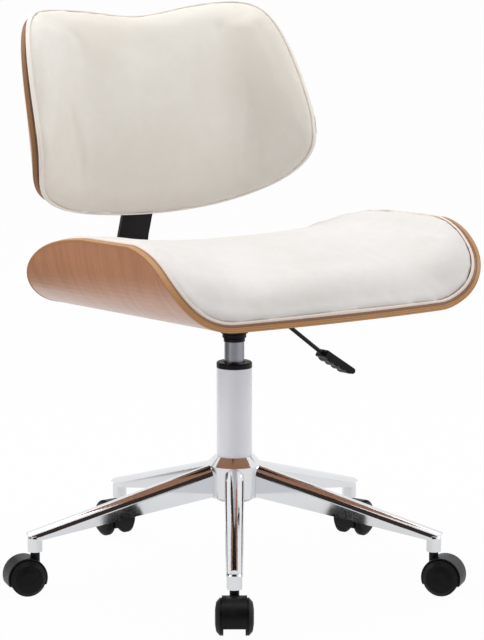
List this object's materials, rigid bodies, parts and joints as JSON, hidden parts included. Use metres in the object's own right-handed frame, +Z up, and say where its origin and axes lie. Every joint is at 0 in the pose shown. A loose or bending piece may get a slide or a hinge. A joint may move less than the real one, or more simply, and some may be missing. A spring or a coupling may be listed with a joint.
{
  "type": "office chair",
  "caption": "Height-adjustable swivel task chair with bent plywood seat and back shells, padded cushions and a chromed star base on twin-wheel casters.",
  "frame": {"origin": "on the floor, on the column's axis", "axes": "+Z up; the chair faces -Y, so the sitter's left is +X"},
  "size_m": [0.6411, 0.6242, 0.7893],
  "materials": {
    "chrome": "polished chrome plate",
    "column_white": "glossy light enamel",
    "steel": "ground and polished steel",
    "black_steel": "satin black powder coat",
    "black_nylon": "satin moulded nylon",
    "wheel_nylon": "matte moulded nylon",
    "bush_plastic": "natural acetal",
    "walnut_veneer": "satin lacquered bent plywood",
    "seat_cover": "smooth coated cover over foam"
  },
  "bodies": {
    "base": {"base_hub": "chrome", "leg_1": "chrome", "leg_2": "chrome", "leg_3": "chrome", "leg_4": "chrome", "leg_5": "chrome", "leg_socket_1": "chrome", "leg_socket_2": "chrome", "leg_socket_3": "chrome", "leg_socket_4": "chrome", "leg_socket_5": "chrome", "outer_tube": "column_white", "tube_cap_ring": "black_nylon", "guide_bush": "bush_plastic", "thrust_bearing": "steel"},
    "rod": {"rod_washer": "steel", "rod_clip": "steel", "piston_rod": "steel", "piston": "bush_plastic"},
    "seat": {"gas_cylinder": "steel", "socket_collar": "black_nylon", "taper_socket": "black_steel", "seat_plate": "black_steel", "mechanism_housing": "black_steel", "lever_pin": "steel", "seat_shell": "walnut_veneer", "seat_cushion": "seat_cover", "shell_bolts": "black_steel", "tee_nuts": "steel", "back_bar": "black_steel", "back_shell": "walnut_veneer", "back_cushion": "seat_cover"},
    "lever": {"lever_rod": "black_steel", "lever_handle": "black_nylon"},
    "release": {"release_pin": "steel"},
    "caster_1": {"caster_hood_1": "black_nylon", "caster_stem_1": "steel", "caster_axle_1": "steel"},
    "wheel_1a_body": {"wheel_1a": "wheel_nylon"},
    "wheel_1b_body": {"wheel_1b": "wheel_nylon"},
    "caster_2": {"caster_hood_2": "black_nylon", "caster_stem_2": "steel", "caster_axle_2": "steel"},
    "wheel_2a_body": {"wheel_2a": "wheel_nylon"},
    "wheel_2b_body": {"wheel_2b": "wheel_nylon"},
    "caster_3": {"caster_hood_3": "black_nylon", "caster_stem_3": "steel", "caster_axle_3": "steel"},
    "wheel_3a_body": {"wheel_3a": "wheel_nylon"},
    "wheel_3b_body": {"wheel_3b": "wheel_nylon"},
    "caster_4": {"caster_hood_4": "black_nylon", "caster_stem_4": "steel", "caster_axle_4": "steel"},
    "wheel_4a_body": {"wheel_4a": "wheel_nylon"},
    "wheel_4b_body": {"wheel_4b": "wheel_nylon"},
    "caster_5": {"caster_hood_5": "black_nylon", "caster_stem_5": "steel", "caster_axle_5": "steel"},
    "wheel_5a_body": {"wheel_5a": "wheel_nylon"},
    "wheel_5b_body": {"wheel_5b": "wheel_nylon"}
  },
  "joints": [
    {"name": "seat_swivel", "type": "hinge", "parent": "base", "child": "rod", "pos_m": [0, 0, 0.12], "axis": [0, 0, 1], "continuous": true},
    {"name": "seat_height", "type": "slide", "parent": "rod", "child": "seat", "axis": [0, 0, 1], "range_m": [0, 0.09]},
    {"name": "height_lever", "type": "hinge", "parent": "seat", "child": "lever", "pos_m": [0.036, -0.00012, 0.37745], "axis": [0, -0.9985, 0.055], "range_deg": [0, 6], "stiffness_Nm_per_rad": 1.2, "springref_deg": -5.73},
    {"name": "release_press", "type": "slide", "parent": "seat", "child": "release", "axis": [0, 0, -1], "range_m": [0, 0.004], "stiffness_N_per_m": 300, "springref_m": -0.004},
    {"name": "caster_swivel_1", "type": "hinge", "parent": "base", "child": "caster_1", "pos_m": [-0.15282, -0.24647, 0.07], "axis": [0, 0, 1], "continuous": true},
    {"name": "wheel_spin_1a", "type": "hinge", "parent": "caster_1", "child": "wheel_1a_body", "pos_m": [-0.16046, -0.25879, 0.025], "axis": [0.8499, -0.527, 0], "continuous": true},
    {"name": "wheel_spin_1b", "type": "hinge", "parent": "caster_1", "child": "wheel_1b_body", "pos_m": [-0.16046, -0.25879, 0.025], "axis": [0.8499, -0.527, 0], "continuous": true},
    {"name": "caster_swivel_2", "type": "hinge", "parent": "base", "child": "caster_2", "pos_m": [0.18718, -0.2215, 0.07], "axis": [0, 0, 1], "continuous": true},
    {"name": "wheel_spin_2a", "type": "hinge", "parent": "caster_2", "child": "wheel_2a_body", "pos_m": [0.19654, -0.23258, 0.025], "axis": [0.7638, 0.6455, 0], "continuous": true},
    {"name": "wheel_spin_2b", "type": "hinge", "parent": "caster_2", "child": "wheel_2b_body", "pos_m": [0.19654, -0.23258, 0.025], "axis": [0.7638, 0.6455, 0], "continuous": true},
    {"name": "caster_swivel_3", "type": "hinge", "parent": "base", "child": "caster_3", "pos_m": [0.2685, 0.10957, 0.07], "axis": [0, 0, 1], "continuous": true},
    {"name": "wheel_spin_3a", "type": "hinge", "parent": "caster_3", "child": "wheel_3a_body", "pos_m": [0.28193, 0.11505, 0.025], "axis": [-0.3778, 0.9259, 0], "continuous": true},
    {"name": "wheel_spin_3b", "type": "hinge", "parent": "caster_3", "child": "wheel_3b_body", "pos_m": [0.28193, 0.11505, 0.025], "axis": [-0.3778, 0.9259, 0], "continuous": true},
    {"name": "caster_swivel_4", "type": "hinge", "parent": "base", "child": "caster_4", "pos_m": [-0.02124, 0.28922, 0.07], "axis": [0, 0, 1], "continuous": true},
    {"name": "wheel_spin_4a", "type": "hinge", "parent": "caster_4", "child": "wheel_4a_body", "pos_m": [-0.0223, 0.30368, 0.025], "axis": [-0.9973, -0.0732, 0], "continuous": true},
    {"name": "wheel_spin_4b", "type": "hinge", "parent": "caster_4", "child": "wheel_4b_body", "pos_m": [-0.0223, 0.30368, 0.025], "axis": [-0.9973, -0.0732, 0], "continuous": true},
    {"name": "caster_swivel_5", "type": "hinge", "parent": "base", "child": "caster_5", "pos_m": [-0.28163, 0.06918, 0.07], "axis": [0, 0, 1], "continuous": true},
    {"name": "wheel_spin_5a", "type": "hinge", "parent": "caster_5", "child": "wheel_5a_body", "pos_m": [-0.29571, 0.07263, 0.025], "axis": [-0.2385, -0.9711, 0], "continuous": true},
    {"name": "wheel_spin_5b", "type": "hinge", "parent": "caster_5", "child": "wheel_5b_body", "pos_m": [-0.29571, 0.07263, 0.025], "axis": [-0.2385, -0.9711, 0], "continuous": true}
  ],
  "couplings": [
    {"joint": "release_press", "follows": "height_lever", "m_per_rad": 0.038}
  ]
}
